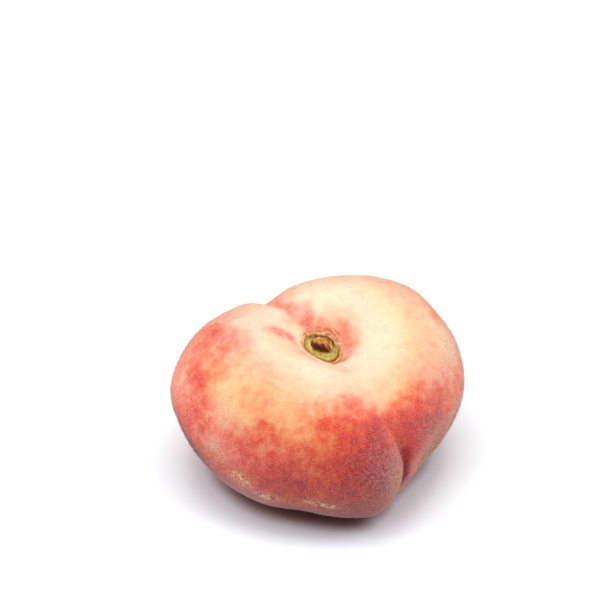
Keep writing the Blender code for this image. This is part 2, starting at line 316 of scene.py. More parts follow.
columns = groove_columns(SKIN_COLUMNS)
seat_rows = np.array([SEAT_SHARE / 2, SEAT_SHARE - SEAT_WALL_SHARE, SEAT_SHARE])
fold_rows = np.linspace(*FOLD_ROWS)
skin_rows = np.linspace(SKIN_START, END, (END - FLOOR) * SKIN_ROWS_PER_STATION)[:-1]
rows = np.concatenate([seat_rows, fold_rows, skin_rows])
rings, skin_outward = skin_points(columns, rows)
ends, _ = skin_points(columns[:1], np.array([float(CENTRE), float(END)]))
points, faces = closed_by_poles(rings, ends[0, 0], ends[1, 0])
fruit_skin = make_piece("fruit_skin", points, faces)
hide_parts("fruit")


def keep_places(piece, name, places):
    """Gives each point of a piece its place in the piece's own terms, for the material."""
    layer = piece.data.attributes.new(name, "FLOAT_VECTOR", "POINT")
    layer.data.foreach_set("vector", places.astype(np.float32).ravel())


# Where each point of the skin lies: its bearing as a sine and cosine, and its station
grid_bearing = np.broadcast_to(columns, rings.shape[:2])
grid_station = np.broadcast_to(rows[:, None], rings.shape[:2])
places = np.stack([np.sin(grid_bearing), np.cos(grid_bearing), grid_station], -1).reshape(-1, 3)
keep_places(fruit_skin, "skin_place", np.concatenate([places, [[0, 1, CENTRE], [0, 1, END]]]))


def put(tree, kind, inputs=(), **settings):
    """A node with its settings, its sockets given as values or as other nodes' outputs."""
    made = tree.nodes.new(kind)
    for name, value in settings.items():
        setattr(made, name, value)
    for key, value in dict(inputs).items():
        if isinstance(value, bpy.types.NodeSocket):
            tree.links.new(value, made.inputs[key])
        else:
            made.inputs[key].default_value = value
    return made


def reckon(tree, operation, *values, clamp=False):
    """One sum, product or other step of arithmetic."""
    made = put(tree, "ShaderNodeMath", enumerate(values), operation=operation, use_clamp=clamp)
    return made.outputs[0]


def steer(tree, operation, *values):
    """One step of arithmetic on vectors."""
    return put(tree, "ShaderNodeVectorMath", enumerate(values), operation=operation).outputs[0]


def fade(tree, value, start, stop):
    """A share that goes from 0 to 1 as the value goes from start to stop."""
    return put(tree, "ShaderNodeMapRange", {0: value, 1: start, 2: stop}).outputs[0]


def swing(tree, share, height):
    """A share from 0 to 1 turned into a swing about nought of the given height."""
    return reckon(tree, "MULTIPLY_ADD", share, height, -height / 2)


def cloud(tree, place, scale, detail=2.0, roughness=0.5):
    """Uneven cloudiness over a place: a share, and a colour of three such shares."""
    inputs = {"Vector": place, "Scale": scale, "Detail": detail, "Roughness": roughness}
    return put(tree, "ShaderNodeTexNoise", inputs).outputs


def blend(tree, share, under, over, mode="MIX"):
    """One colour laid over another by a share."""
    inputs = {"Factor": share, 6: under, 7: over}
    made = put(tree, "ShaderNodeMix", inputs, data_type="RGBA", blend_type=mode)
    return made.outputs[2]


def shade(red, green, blue):
    """A colour as a paint chart gives it, 0 to 255, for a shader socket."""
    given = np.array([red, green, blue]) / 255
    light = np.where(given <= 0.04045, given / 12.92, ((given + 0.055) / 1.055) ** 2.4)
    return (*light.tolist(), 1.0)


def spread(tree, share, stops):
    """A run of colours along a share from 0 to 1."""
    made = put(tree, "ShaderNodeValToRGB", {0: share})
    ramp = made.color_ramp.elements
    while len(ramp) < len(stops):
        ramp.new(0.5)
    for element, (where, colour) in zip(ramp, stops):
        element.position = where
        element.color = colour
    return made.outputs[0]


def new_look(name):
    """A new material, with its tree of nodes and its surface."""
    made = bpy.data.materials.new(name)
    made.use_nodes = True
    return made, made.node_tree, made.node_tree.nodes["Principled BSDF"]


def roughen(tree, surface, height, strength, depth):
    """Gives a surface a fine relief."""
    relief = put(tree, "ShaderNodeBump", {"Height": height, "Strength": strength, "Distance": depth})
    tree.links.new(relief.outputs[0], surface.inputs["Normal"])


def new_group(name, inputs, outputs):
    """A shader node group with named inputs and outputs, and its two end nodes."""
    tree = bpy.data.node_groups.new(name, "ShaderNodeTree")
    for label, kind, value in inputs:
        made = tree.interface.new_socket(label, in_out="INPUT", socket_type=kind)
        if value is not None:
            made.default_value = value
    for label, kind in outputs:
        tree.interface.new_socket(label, in_out="OUTPUT", socket_type=kind)
    return tree, tree.nodes.new("NodeGroupInput").outputs, tree.nodes.new("NodeGroupOutput").inputs


FLOAT, VECTOR, COLOUR = "NodeSocketFloat", "NodeSocketVector", "NodeSocketColor"

# One soft patch of ripening or drying, laid over the level that it is given
patch_group, given, result = new_group(
    "soft patch",
    [("Level", FLOAT, 0.0), ("Place", VECTOR, None), ("Centre", VECTOR, None),
     ("Half Width", FLOAT, 0.3), ("Half Span", FLOAT, 0.5), ("Strength", FLOAT, 0.5)],
    [("Level", FLOAT)])
here = put(patch_group, "ShaderNodeSeparateXYZ", {0: given["Place"]}).outputs
there = put(patch_group, "ShaderNodeSeparateXYZ", {0: given["Centre"]}).outputs
away = 0.0
for axis, reach in (("X", "Half Width"), ("Y", "Half Width"), ("Z", "Half Span")):
    moved = reckon(patch_group, "SUBTRACT", here[axis], there[axis])
    moved = reckon(patch_group, "DIVIDE", moved, given[reach])
    away = reckon(patch_group, "MULTIPLY_ADD", moved, moved, away)
fading = reckon(patch_group, "EXPONENT", reckon(patch_group, "MULTIPLY", away, -1.0))
total = reckon(patch_group, "MULTIPLY_ADD", fading, given["Strength"], given["Level"])
patch_group.links.new(total, result["Level"])


def soft_patch(tree, place, level, centre, half_width, half_span, strength):
    """The level with one soft patch laid over it."""
    made = put(tree, "ShaderNodeGroup", {
        "Level": level, "Place": place, "Centre": centre, "Half Width": half_width,
        "Half Span": half_span, "Strength": strength}, node_tree=patch_group)
    return made.outputs["Level"]


def ripening(tree, place, level, patches):
    """Lays patches over a level: bearing and half width in degrees, station, half span, strength."""
    for bearing, half_width, station, half_span, strength in patches:
        centre = (np.sin(radians(bearing)), np.cos(radians(bearing)), station)
        level = soft_patch(tree, place, level, centre, radians(half_width), half_span, strength)
    return level


# Cork that has healed over the torn skin and stalk, paler and browner in turn
cork_group, given, result = new_group("healed cork", [("Unevenness", FLOAT, 0.5)],
                                      [("Color", COLOUR)])
corky = spread(cork_group, given["Unevenness"], [
    (0.36, shade(200, 124, 80)), (0.5, shade(234, 172, 122)), (0.64, shade(252, 212, 168))])
cork_group.links.new(corky, result["Color"])

# Red blush: bearing, half width, station, half span, strength
BLUSH = [
    # All round the belly
    (0, 400, 5.0, 1.20, 0.70),
    # Above and right of the stalk
    (56, 12, 1.35, 0.2, 0.35),
    (88, 44, 1.3, 0.4, 0.38),
    (126, 14, 1.35, 0.2, 0.10),
    (130, 20, 2.9, 0.5, 0.08),
    (133, 9, 1.6, 0.25, 0.14),
    (160, 60, 1.3, 0.55, 0.25),
    # Along the crease
    (200, 8, 2.2, 0.35, 0.24),
    (200, 18, 1.35, 0.3, 0.3),
    (209, 12, 1.7, 0.45, 0.44),
    (214, 7, 2.6, 0.45, 0.36),
    (234, 11, 2.15, 0.35, 0.18),
    # Left and front of the socket
    (24, 8, 2.6, 0.3, 0.16),
    (270, 11, 2.15, 0.5, 0.38),
    (285, 9, 1.8, 0.3, 0.22),
    (320, 40, 2.2, 0.35, 0.20),
    (356, 16, 2.8, 0.35, -0.10),
    # Front
    (340, 8, 3.6, 0.2, -0.10),
    (342, 9, 4.0, 0.16, -0.12),
    (345, 16, 5.2, 0.3, 0.14),
    (346, 7, 4.66, 0.22, 0.12),
    (348, 10, 4.3, 0.2, -0.05),
    (350, 7, 5.05, 0.22, 0.10),
    (352, 6, 4.0, 0.15, -0.06),
    (353, 6, 4.22, 0.16, -0.10),
    (1, 12, 3.5, 0.28, -0.12),
    (2, 5, 4.32, 0.11, -0.12),
    (9, 15, 4.06, 0.36, 0.38),
    (9, 4, 4.07, 0.12, -0.14),
    (14, 12, 4.78, 0.42, 0.22),
    (14, 8, 3.58, 0.2, 0.28),
    (17, 5, 4.12, 0.12, -0.14),
    (20, 8, 4.6, 0.5, 0.14),
    (20, 9, 4.6, 0.6, 0.30),
    # Front's left
    (301, 6, 4.6, 0.2, 0.10),
    (304, 7, 3.96, 0.18, -0.26),
    (306, 14, 5.7, 0.3, 0.22),
    (312, 12, 3.75, 0.25, -0.10),
    (312, 12, 4.95, 0.27, -0.38),
    (315, 10, 4.3, 0.28, -0.24),
    (320, 60, 3.65, 0.42, 0.15),
    (323, 7, 4.42, 0.12, -0.12),
    (327, 5, 4.20, 0.12, -0.12),
    (330, 8, 4.52, 0.16, 0.08),
    (335, 7, 4.3, 0.12, 0.12),
    (338, 6, 4.4, 0.12, 0.10),
    (338, 5, 4.5, 0.12, -0.20),
    # Left side
    (258, 6, 3.4, 0.2, -0.10),
    (268, 12, 3.8, 0.3, 0.28),
    (280, 15, 4.8, 0.4, -0.28),
    (280, 12, 3.4, 0.25, 0.16),
    (283, 4, 4.46, 0.12, -0.20),
    (286, 5, 4.14, 0.15, 0.18),
    (286, 7, 5.4, 0.3, 0.20),
    (288, 11, 3.6, 0.3, 0.10),
    (288, 11, 5.3, 0.38, 0.46),
    (292, 7, 4.22, 0.22, 0.30),
    (299, 6, 3.92, 0.16, 0.22),
    # Ridge, seam and right lobe
    (28, 7, 4.15, 0.25, 0.16),
    (35, 3, 4.2, 0.2, -0.15),
    (37, 6, 4.2, 0.2, 0.28),
    (38, 5, 3.86, 0.12, 0.2),
    (42, 9, 3.72, 0.2, -0.10),
    (42, 6, 4.75, 0.25, 0.30),
    (44, 7, 4.36, 0.25, 0.48),
    (45, 10, 3.75, 0.16, 0.16),
    (50, 8, 4.02, 0.22, 0.32),
    (54, 9, 4.65, 0.28, 0.46),
    # Right side
    (69, 9, 5.1, 0.25, -0.22),
    (80, 12, 4.5, 0.45, -0.06),
    (88, 35, 3.45, 0.35, 0.10),
    (98, 20, 4.3, 0.55, -0.36),
    (110, 7, 3.98, 0.14, 0.42),
    (125, 16, 3.5, 0.4, 0.05),
    # Far side
    (150, 25, 4.7, 0.5, 0.20),
    (181, 12, 4.9, 0.6, -0.30),
    (209, 6, 3.5, 0.4, 0.10),
    (212, 20, 4.6, 0.5, 0.22),
    (245, 12, 5.1, 0.5, -0.30),
]
# More blush in the crease's walls, laid without wandering
CREASE_RED = [
    (216, 4, 3.3, 0.4, 0.28),
    (219, 4, 2.4, 0.4, 0.16),
    (218, 5, 1.7, 0.25, 0.12),
]
# Deep red at the bottom of the seam
SEAM_RED = [
    (34.5, 2.0, 4.7, 0.2, 0.35),
    (36.4, 2.8, 5.0, 0.35, 0.85),
    (37.5, 2.4, 5.38, 0.2, 0.80),
]
# Yellow of ripe flesh under the skin
YELLOW = [
    (0, 400, 3.7, 0.6, 0.20),
    (334, 32, 4.0, 0.45, 0.85),
    (305, 22, 3.9, 0.45, 0.35),
    (2, 24, 4.3, 0.35, 0.50),
    (3, 9, 4.8, 0.28, 0.60),
    (45, 14, 3.7, 0.4, 0.65),
    (45, 12, 4.4, 0.3, 0.35),
    (84, 25, 3.2, 0.4, 0.60),
    (115, 20, 2.8, 0.4, 0.45),
    (300, 20, 2.6, 0.4, 0.35),
    (20, 8, 4.6, 0.4, -0.15),
    (262, 30, 3.0, 0.7, -0.30),
    (170, 70, 1.5, 0.5, 0.30),
    (180, 60, 4.6, 0.6, 0.40),
    (0, 400, 7.6, 1.2, 0.70),
]
# Old blush that has turned mauve, most of it low down and beside the seam
MAUVE = [
    (0, 400, 6.15, 0.5, 0.60),
    (18, 18, 5.6, 0.45, 0.50),
    (29, 7, 5.1, 0.45, 0.45),
    (26, 7, 4.85, 0.45, 0.62),
    (32, 6, 5.2, 0.3, 0.25),
    (325, 20, 5.8, 0.35, 0.32),
    (300, 20, 5.6, 0.4, 0.45),
    (288, 8, 5.15, 0.3, 0.20),
    (355, 14, 5.95, 0.25, 0.35),
    (20, 7, 4.3, 0.25, 0.05),
    (55, 10, 4.62, 0.32, 0.50),
    (262, 10, 2.3, 0.35, 0.22),
    (212, 8, 3.5, 0.5, 0.12),
    (270, 16, 3.7, 0.35, 0.14),
]
# Where the down stands thick enough to dapple the skin
DAPPLE = [
    (0, 400, 5.3, 1.2, 1.1),
    (64, 16, 5.3, 0.5, 2.6),
    (50, 10, 4.9, 0.4, 0.8),
    (26, 8, 5.3, 0.7, 1.0),
    (270, 40, 4.4, 0.7, 0.4),
]
# Pale thick down along the rims beside the seam, partly a painted sheen of the down there
PALE_DOWN_AND_SHEEN = [
    (27.5, 2.2, 5.2, 0.4, 0.40),
    (62, 12, 5.25, 0.28, 0.45),
    (80, 14, 5.0, 0.4, 0.12),
]
# Where the skin's pores have browned
PORES = [
    (320, 42, 4.15, 0.6, 0.5),
    (20, 30, 4.3, 0.5, 0.25),
]
# Corky flecks low down on the front
FLECKS = [
    (325, 4, 5.36, 0.13, 1.8),
    (336, 5, 5.60, 0.09, 1.8),
    (357, 4, 5.51, 0.06, 1.6),
    (3, 4, 5.55, 0.07, 1.6),
]
# Brown cracks in the fold round the stalk
CRACKS = [
    (218, 26, 1.12, 0.16, 1.0),
    (145, 34, 1.12, 0.16, 0.8),
    (45, 20, 1.05, 0.06, 0.5),
]
# Where the fold's cork is tanned, where it is pale, and where red skin shows through it
TANNED_FOLD = [
    (0, 400, 1.1, 0.3, 0.15),
    (38, 14, 1.16, 0.28, 0.85),
    (130, 14, 1.1, 0.15, 0.30),
    (76, 28, 1.08, 0.12, 0.55),
]
PALE_FOLD = [
    (250, 10, 1.1, 0.2, 0.60),
    (0, 20, 1.05, 0.2, 0.50),
]
RED_FOLD = [
    (212, 24, 1.12, 0.2, 0.80),
    (165, 38, 1.15, 0.16, 0.65),
]
# How much further out the cork reaches, in stations
WIDE_CORK = [
    (172, 45, 1.2, 0.3, 0.08),
    (60, 30, 1.2, 0.3, 0.03),
    (40, 11, 1.3, 0.3, 0.16),
]
# Where the fold's skin is still whole and pale
SOUND_SKIN = [
    (0, 24, 1.15, 0.4, -0.95),
    (318, 20, 1.15, 0.4, -0.55),
]
# Dusty bloom, thickest low down and beside the seam, and partly a painted sheen of the down on those
# rims
DUST_AND_SHEEN = [
    (24, 8, 4.85, 0.6, 0.12),
    (56, 24, 5.2, 0.35, 0.60),
    (73, 7, 5.05, 0.25, 0.30),
    (31, 2, 5.0, 0.6, 0.4),
]
# How far patches wander: in their bearing's sine and cosine, and in stations
WANDER = (0.26, 0.26, 0.7)
STREAK_STRETCH = (12.0, 12.0, 2.6)
# Scales of unevenness, from the slowest to the finest
WANDER_SCALE, MOTTLE_SCALE, CORK_SCALE, GRAIN_SCALE = 160.0, 440.0, 520.0, 1500.0
PORE_SCALE, STIPPLE_SCALE, RELIEF_SCALE = 800.0, 2200.0, 2600.0
# Stations between which the cork of the fold, and that of the button, thickens from none to whole
FOLD_CORK = (1.31, 1.20)
BUTTON_CORK = (8.88, 8.98)
CRACK_LINES = 34.0
# How much of the mottling shows on the palest and on the reddest skin
MOTTLING_LEAST, MOTTLING_MOST = 0.03, 0.75

skin, tree, surface = new_look("peach skin")
place = put(tree, "ShaderNodeAttribute", attribute_name="skin_place").outputs["Vector"]
where = put(tree, "ShaderNodeTexCoord").outputs["Object"]

# Patches wander: their edges follow a slow unevenness of the flesh
wander = cloud(tree, where, WANDER_SCALE, 4.0, 0.62)["Color"]
shift = steer(tree, "MULTIPLY", steer(tree, "SUBTRACT", wander, (0.5, 0.5, 0.5)), WANDER)
moved = steer(tree, "ADD", place, shift)
turn = steer(tree, "NORMALIZE", steer(tree, "MULTIPLY", moved, (1.0, 1.0, 0.0)))
station = steer(tree, "MULTIPLY", moved, (0.0, 0.0, 1.0))
roamed = steer(tree, "ADD", turn, station)
blush = ripening(tree, place, ripening(tree, roamed, 0.0, BLUSH), CREASE_RED)
yellow = ripening(tree, roamed, 0.1, YELLOW)
dust_and_sheen = ripening(tree, place, ripening(tree, roamed, 0.0, DUST_AND_SHEEN), PALE_DOWN_AND_SHEEN)
mauve = ripening(tree, roamed, 0.0, MAUVE)
dapple = ripening(tree, place, 0.08, DAPPLE)
flecks = ripening(tree, place, 0.0, FLECKS)

# The fold round the stalk has corked over, with thin brown cracks along it
seen = put(tree, "ShaderNodeSeparateXYZ", {0: place}).outputs["Z"]
cracked = cloud(tree, where, CORK_SCALE, 3.0)[0]
edge = reckon(tree, "MULTIPLY_ADD", cracked, 0.30, seen)
edge = reckon(tree, "SUBTRACT", edge, ripening(tree, place, 0.0, WIDE_CORK))
cork = fade(tree, edge, *FOLD_CORK)
cork = reckon(tree, "MULTIPLY", cork, ripening(tree, place, 1.0, SOUND_SKIN), clamp=True)
cracks = fade(tree, reckon(tree, "SINE", reckon(tree, "MULTIPLY", edge, CRACK_LINES)), 0.2, 1.0)
cracks = reckon(tree, "MULTIPLY", cracks, ripening(tree, place, 0.0, CRACKS), clamp=True)

# Streaks run from the socket down the sides, with finer mottling between them
streaks = cloud(tree, steer(tree, "MULTIPLY", roamed, STREAK_STRETCH), 1.0, 4.0, 0.6)[0]
mottle = cloud(tree, where, MOTTLE_SCALE, 4.0, 0.62)[0]
grain = cloud(tree, where, GRAIN_SCALE, 2.0, 0.6)[0]
broken = reckon(tree, "ADD", swing(tree, streaks, 0.5), swing(tree, mottle, 1.5))
broken = reckon(tree, "ADD", broken, swing(tree, grain, 0.3))
amount = reckon(tree, "MULTIPLY_ADD", blush, 1.45, -0.1)
amount = reckon(tree, "MAXIMUM", amount, MOTTLING_LEAST)
amount = reckon(tree, "MINIMUM", amount, MOTTLING_MOST)
blush = reckon(tree, "MULTIPLY_ADD", broken, amount, blush, clamp=True)
yellow = reckon(tree, "ADD", yellow, 0.0, clamp=True)

# The blush on cream flesh turns pink, on yellow flesh orange
on_cream = spread(tree, blush, [
    (0.0, shade(246, 227, 198)), (0.15, shade(244, 200, 172)), (0.3, shade(244, 168, 149)),
    (0.45, shade(243, 139, 122)), (0.6, shade(238, 106, 92)), (0.75, shade(228, 82, 76)),
    (0.88, shade(214, 68, 68)), (1.0, shade(192, 56, 60))])
on_yellow = spread(tree, blush, [
    (0.0, shade(242, 226, 178)), (0.15, shade(240, 206, 152)), (0.3, shade(248, 182, 128)),
    (0.45, shade(250, 152, 98)), (0.6, shade(242, 116, 68)), (0.75, shade(234, 88, 52)),
    (0.88, shade(222, 70, 50)), (1.0, shade(202, 58, 50))])
colour = blend(tree, yellow, on_cream, on_yellow)
dust_and_sheen = reckon(tree, "ADD", dust_and_sheen, swing(tree, grain, 1.2), clamp=True)
mauve = reckon(tree, "MULTIPLY_ADD", broken, 0.5, mauve, clamp=True)
colour = blend(tree, mauve, colour, shade(158, 88, 100))
# Dusty bloom, partly a painted sheen of the down along the rims
colour = blend(tree, dust_and_sheen, colour, shade(222, 158, 142))
# Blushed skin is a little lighter and darker from spot to spot
lively = reckon(tree, "ADD", swing(tree, grain, 0.34), swing(tree, mottle, 0.44))
lively = reckon(tree, "MULTIPLY", lively, reckon(tree, "MULTIPLY_ADD", blush, 0.9, 0.10))
colour = blend(tree, 1.0, colour, reckon(tree, "ADD", lively, 1.0), "MULTIPLY")
# Small brown pores, and the fine dapple of light and dark that the down gives
cells = put(tree, "ShaderNodeTexVoronoi", {"Vector": where, "Scale": PORE_SCALE}).outputs
chosen = fade(tree, cells["Color"], 0.5, 0.9)
pore = fade(tree, cells["Distance"], 0.24, 0.08)
pore = reckon(tree, "MULTIPLY", pore, chosen)
pore = reckon(tree, "MULTIPLY", pore, ripening(tree, place, 0.06, PORES))
colour = blend(tree, pore, colour, shade(150, 70, 40))
stipple = swing(tree, cloud(tree, where, STIPPLE_SCALE, 3.0, 0.8)[0], 1.1)
stipple = reckon(tree, "MULTIPLY", stipple, dapple)
pale = reckon(tree, "MULTIPLY_ADD", stipple, 2.4, -0.18, clamp=True)
stippled = steer(tree, "MULTIPLY_ADD", stipple, (0.7, 1.25, 1.15), (1.0, 1.0, 1.0))
colour = blend(tree, 1.0, colour, stippled, "MULTIPLY")
colour = blend(tree, reckon(tree, "MULTIPLY", pale, 0.34), colour, shade(250, 202, 188))
# The seam's bottom is crimson
colour = blend(tree, ripening(tree, place, 0.0, SEAM_RED), colour, shade(148, 14, 20))
# Corky flecks are thin broken lines, where the mottling crosses its middle
crackle = fade(tree, reckon(tree, "ABSOLUTE", reckon(tree, "SUBTRACT", mottle, 0.5)), 0.08, 0.02)
crackle = reckon(tree, "MULTIPLY", crackle, reckon(tree, "MULTIPLY_ADD", grain, 6.0, -2.1))
flecked = reckon(tree, "MULTIPLY", crackle, flecks, clamp=True)
colour = blend(tree, flecked, colour, shade(254, 226, 182))
# The fold's cork is tanned, pale or reddish from place to place
healed = put(tree, "ShaderNodeGroup", {"Unevenness": grain}, node_tree=cork_group).outputs["Color"]
corked = blend(tree, ripening(tree, place, 0.0, TANNED_FOLD), healed, shade(186, 134, 60))
corked = blend(tree, ripening(tree, place, 0.0, PALE_FOLD), corked, shade(246, 208, 162))
corked = blend(tree, ripening(tree, place, 0.0, RED_FOLD), corked, shade(228, 104, 70))
colour = blend(tree, cork, colour, corked)
colour = blend(tree, cracks, colour, shade(150, 72, 40))
# The button at the blossom end is corky too, and browner
button = fade(tree, reckon(tree, "MULTIPLY_ADD", cracked, 0.4, seen), *BUTTON_CORK)
colour = blend(tree, button, colour, blend(tree, 0.6, healed, shade(150, 100, 60)))
tree.links.new(colour, surface.inputs["Base Color"])
roughen(tree, surface, cloud(tree, where, RELIEF_SCALE)[0], 0.25, 0.08 * MM)
surface.inputs["Roughness"].default_value = 0.62
surface.inputs["Specular IOR Level"].default_value = 0.25
surface.inputs["Sheen Weight"].default_value = 0.8
surface.inputs["Sheen Roughness"].default_value = 0.3
surface.inputs["Sheen Tint"].default_value = shade(255, 228, 224)
surface.inputs["Subsurface Weight"].default_value = 0.08
surface.inputs["Subsurface Radius"].default_value = (1.0, 0.45, 0.25)
surface.inputs["Subsurface Scale"].default_value = 0.0025
fruit_skin.data.materials.append(skin)


# Down on the skin.
# A peach's bloom is a coat of short pale hairs, grown from the skin all over and leaning
# a little down its sides.  They are set apart here as fine closed spikes in three coats.
HAIRS_A_COAT = 30000
COATS = 3
HAIR_LENGTH = (0.25, 0.65)
HAIR_THICKNESS = 0.020
THICKNESS_SPREAD = (0.5, 1.7)
HAIR_DROOP = 0.25
HAIR_TANGLE = 0.35
HAIR_ROOT = 0.03
# No hair grows lower on the skin than the first height, and no tip reaches below the second
BARE_BELOW = 0.35
TIPS_ABOVE = 0.05
# Stations between which the hairs stand thick
THICKET = (3.7, 5.7)
THICKET_SHARE = 8.0
# Beside the seam, between these stations: bearing, half width, share of the usual hairs
SEAM_SIDE = (4.5, 5.7)
HAIRS_BY_SEAM = [
    (37.0, 3.0, 0.1),
    (28.0, 4.0, 2.5),
    (56.0, 12.0, 1.8),
]


def grow_hairs(count, seed):
    """Points and faces of closed three-sided spikes on the skin, thickest round its sides."""
    chance = np.random.default_rng(seed)
    across, down = np.roll(rings, -1, axis=1) - rings, np.roll(rings, -1, axis=0) - rings
    area = np.linalg.norm(np.cross(across, down), axis=-1)
    area[(rows > THICKET[0]) & (rows < THICKET[1])] *= THICKET_SHARE
    seam_side = (rows > SEAM_SIDE[0]) & (rows < SEAM_SIDE[1])
    for degrees, half_width, share in HAIRS_BY_SEAM:
        near = np.abs(wrapped(columns - radians(degrees))) < radians(half_width)
        area[np.ix_(seam_side, near)] *= share
    # None on the last row, which has no next one, in the socket or where the fruit rests
    area[-1] = 0
    area[rows < SKIN_START] = 0
    area[rings[..., 2] < BARE_BELOW] = 0
    cells = chance.choice(area.size, size=count, p=(area / area.sum()).ravel())
    row, column = np.unravel_index(cells, area.shape)
    side, drop = chance.random((2, count, 1))
    root = rings[row, column] + across[row, column] * side + down[row, column] * drop
    lean = down[row, column] / (np.linalg.norm(down[row, column], axis=1, keepdims=True) + 1e-9)
    way = skin_outward[row, column] + HAIR_DROOP * lean
    way += HAIR_TANGLE * chance.normal(size=(count, 3))
    way /= np.linalg.norm(way, axis=1, keepdims=True)
    length = chance.uniform(*HAIR_LENGTH, (count, 1))
    tip = root + way * length
    tip[:, 2] = np.maximum(tip[:, 2], TIPS_ABOVE)
    first = np.cross(way, chance.normal(size=(count, 3)))
    thickness = HAIR_THICKNESS * chance.uniform(*THICKNESS_SPREAD, (count, 1))
    first *= thickness / np.linalg.norm(first, axis=1, keepdims=True)
    second = np.cross(way, first)
    foot = root - way * HAIR_ROOT
    turns = [0, 2 * pi / 3, 4 * pi / 3]
    corners = [foot + first * np.cos(turn) + second * np.sin(turn) for turn in turns]
    points = np.stack([*corners, tip], axis=1).reshape(-1, 3)
    start = np.arange(count)[:, None] * 4
    faces = np.concatenate([start + one for one in ([0, 2, 1], [0, 1, 3], [1, 2, 3], [2, 0, 3])])
    return points, faces.tolist()


def let_through(tree, surface, share):
    """Makes a share of a surface clear."""
    clear = put(tree, "ShaderNodeBsdfTransparent").outputs[0]
    either = put(tree, "ShaderNodeMixShader", {0: share, 1: surface.outputs[0], 2: clear})
    tree.links.new(either.outputs[0], tree.nodes["Material Output"].inputs["Surface"])


down_hair, tree, surface = new_look("pale down")
where = put(tree, "ShaderNodeTexCoord").outputs["Object"]
hair_colour = spread(tree, cloud(tree, where, STIPPLE_SCALE)[0], [
    (0.40, shade(186, 104, 96)), (0.5, shade(238, 170, 154)), (0.60, shade(254, 224, 208))])
bristly = spread(tree, cloud(tree, where, 1200.0)[0], [
    (0.38, shade(180, 110, 98)), (0.5, shade(232, 182, 160)), (0.62, shade(254, 238, 224))])
# The down is even and pale over the cream top and bristly on the low right side; low at the
# front and on the left it is darker, a painted shade, and along the ridge beside the seam it is
# pale again, a painted highlight.  Each patch: centre in metres, half width, half span,
# strength, colour
DOWN_TINTS_AND_PAINTED_LIGHT = [
    ((0.0, 0.0, 0.042), 0.1, 0.016, 1.1, shade(248, 200, 172)),
    ((-0.006, -0.031, 0.002), 0.022, 0.008, 0.7, shade(218, 112, 112)),
    ((-0.031, -0.010, 0.013), 0.009, 0.007, 0.8, shade(176, 92, 96)),
    ((0.0165, -0.029, 0.013), 0.006, 0.010, 0.6, shade(255, 212, 200)),
    ((0.027, -0.018, 0.013), 0.010, 0.008, 1.0, bristly),
]
for centre, half_width, half_span, strength, tint in DOWN_TINTS_AND_PAINTED_LIGHT:
    near = soft_patch(tree, where, 0.0, centre, half_width, half_span, strength)
    hair_colour = blend(tree, near, hair_colour, tint)
tree.links.new(hair_colour, surface.inputs["Base Color"])
# Fine hairs let most light through, so they hardly shade the skin
shaded = put(tree, "ShaderNodeLightPath").outputs["Is Shadow Ray"]
let_through(tree, surface, reckon(tree, "MULTIPLY", shaded, 0.85))
surface.inputs["Roughness"].default_value = 0.7
surface.inputs["Specular IOR Level"].default_value = 0.2
for coat in range(1, COATS + 1):
    points, faces = grow_hairs(HAIRS_A_COAT, seed=20 + coat)
    piece = make_piece("skin_down_%d" % coat, points, faces)
    piece.data.materials.append(down_hair)


# Stalk collar.
# A thick oval ring of green stalk tissue that stayed in the socket when the fruit was picked,
# grown into the skin's fold all round; its outer edge and its back have dried brown.
COLLAR_PROFILE = [(0.0, -0.9), (0.0, -0.15), (0.13, 0.2), (0.42, 0.42), (0.71, 0.36),
                  (0.9, 0.1), (1.0, -0.3), (1.0, -0.9)]
COLLAR_GAP = 0.12
COLLAR_COLUMNS = 240
PROFILE_STEPS = 6
COLLAR_LUMPS = 0.09
COLLAR_LUMP_SIZE = 0.8
SMOOTH_BELOW = -0.3
BORE_REACH = (2.65, 2.2)
BORE_CENTRE = (0.35, 0.95)
# Bearing, half width, share of the way in, half span, strength
DRIED_BROWN = [
    (0, 400, -0.05, 0.13, 0.75),
    (62, 34, 0.05, 0.22, 0.45),
    (318, 18, 0.0, 0.2, -0.7),
    (258, 8, 0.0, 0.2, -0.4),
    (22, 60, 0.04, 0.12, 0.2),
    (0, 400, 1.08, 0.14, 0.75),
    (350, 50, 1.0, 0.16, 0.40),
    (72, 14, 1.05, 0.2, -0.9),
    (114, 22, 0.95, 0.28, 0.9),
    (86, 14, 0.55, 0.28, 0.80),
    (14, 12, 0.85, 0.2, 0.50),
    (212, 10, 0.8, 0.25, 0.8),
    (240, 11, 0.6, 0.25, 1.0),
    (242, 8, 1.05, 0.15, -0.5),
    (228, 14, 0.5, 0.5, 0.45),
    (312, 13, 0.7, 0.32, 0.95),
    (182, 24, 1.02, 0.1, 0.7),
    (140, 14, 1.02, 0.1, 0.5),
    (332, 10, 0.85, 0.25, 0.8),
    (330, 8, 0.25, 0.15, 0.6),
    (285, 8, 0.85, 0.15, 0.6),
    (276, 12, 1.05, 0.15, 0.5),
]
CORKED_OVER = [
    (155, 46, 0.3, 0.9, 1.3),
    (205, 18, 0.2, 0.4, 0.9),
    (112, 18, 0.35, 0.3, 0.9),
    (75, 9, 1.0, 0.25, 0.9),
]
STILL_GREEN = [
    (36, 26, 0.55, 0.45, 0.9),
    (345, 14, 0.4, 0.4, 0.4),
]
PALE_TISSUE = [
    (290, 34, 0.72, 0.4, 1.0),
    (10, 14, 0.8, 0.25, 0.5),
    (20, 40, 0.24, 0.08, 0.8),
]


def leaning(x, y, height):
    """Points at a height over the socket's floor."""
    return np.stack([x, y, floor_height(x, y) + height], -1)


def finer(profile, steps):
    """More points on a closed profile, curved smoothly through its corners."""
    given = np.array(profile)
    count = len(given)
    place = np.arange(count * steps) / steps
    cell = np.floor(place).astype(int)
    part = (place - cell)[:, None]
    before, here = given[(cell - 1) % count], given[cell % count]
    after, beyond = given[(cell + 1) % count], given[(cell + 2) % count]
    return 0.5 * (2 * here + (after - before) * part
                  + (2 * before - 5 * here + 4 * after - beyond) * part ** 2
                  + (3 * here - before - 3 * after + beyond) * part ** 3)


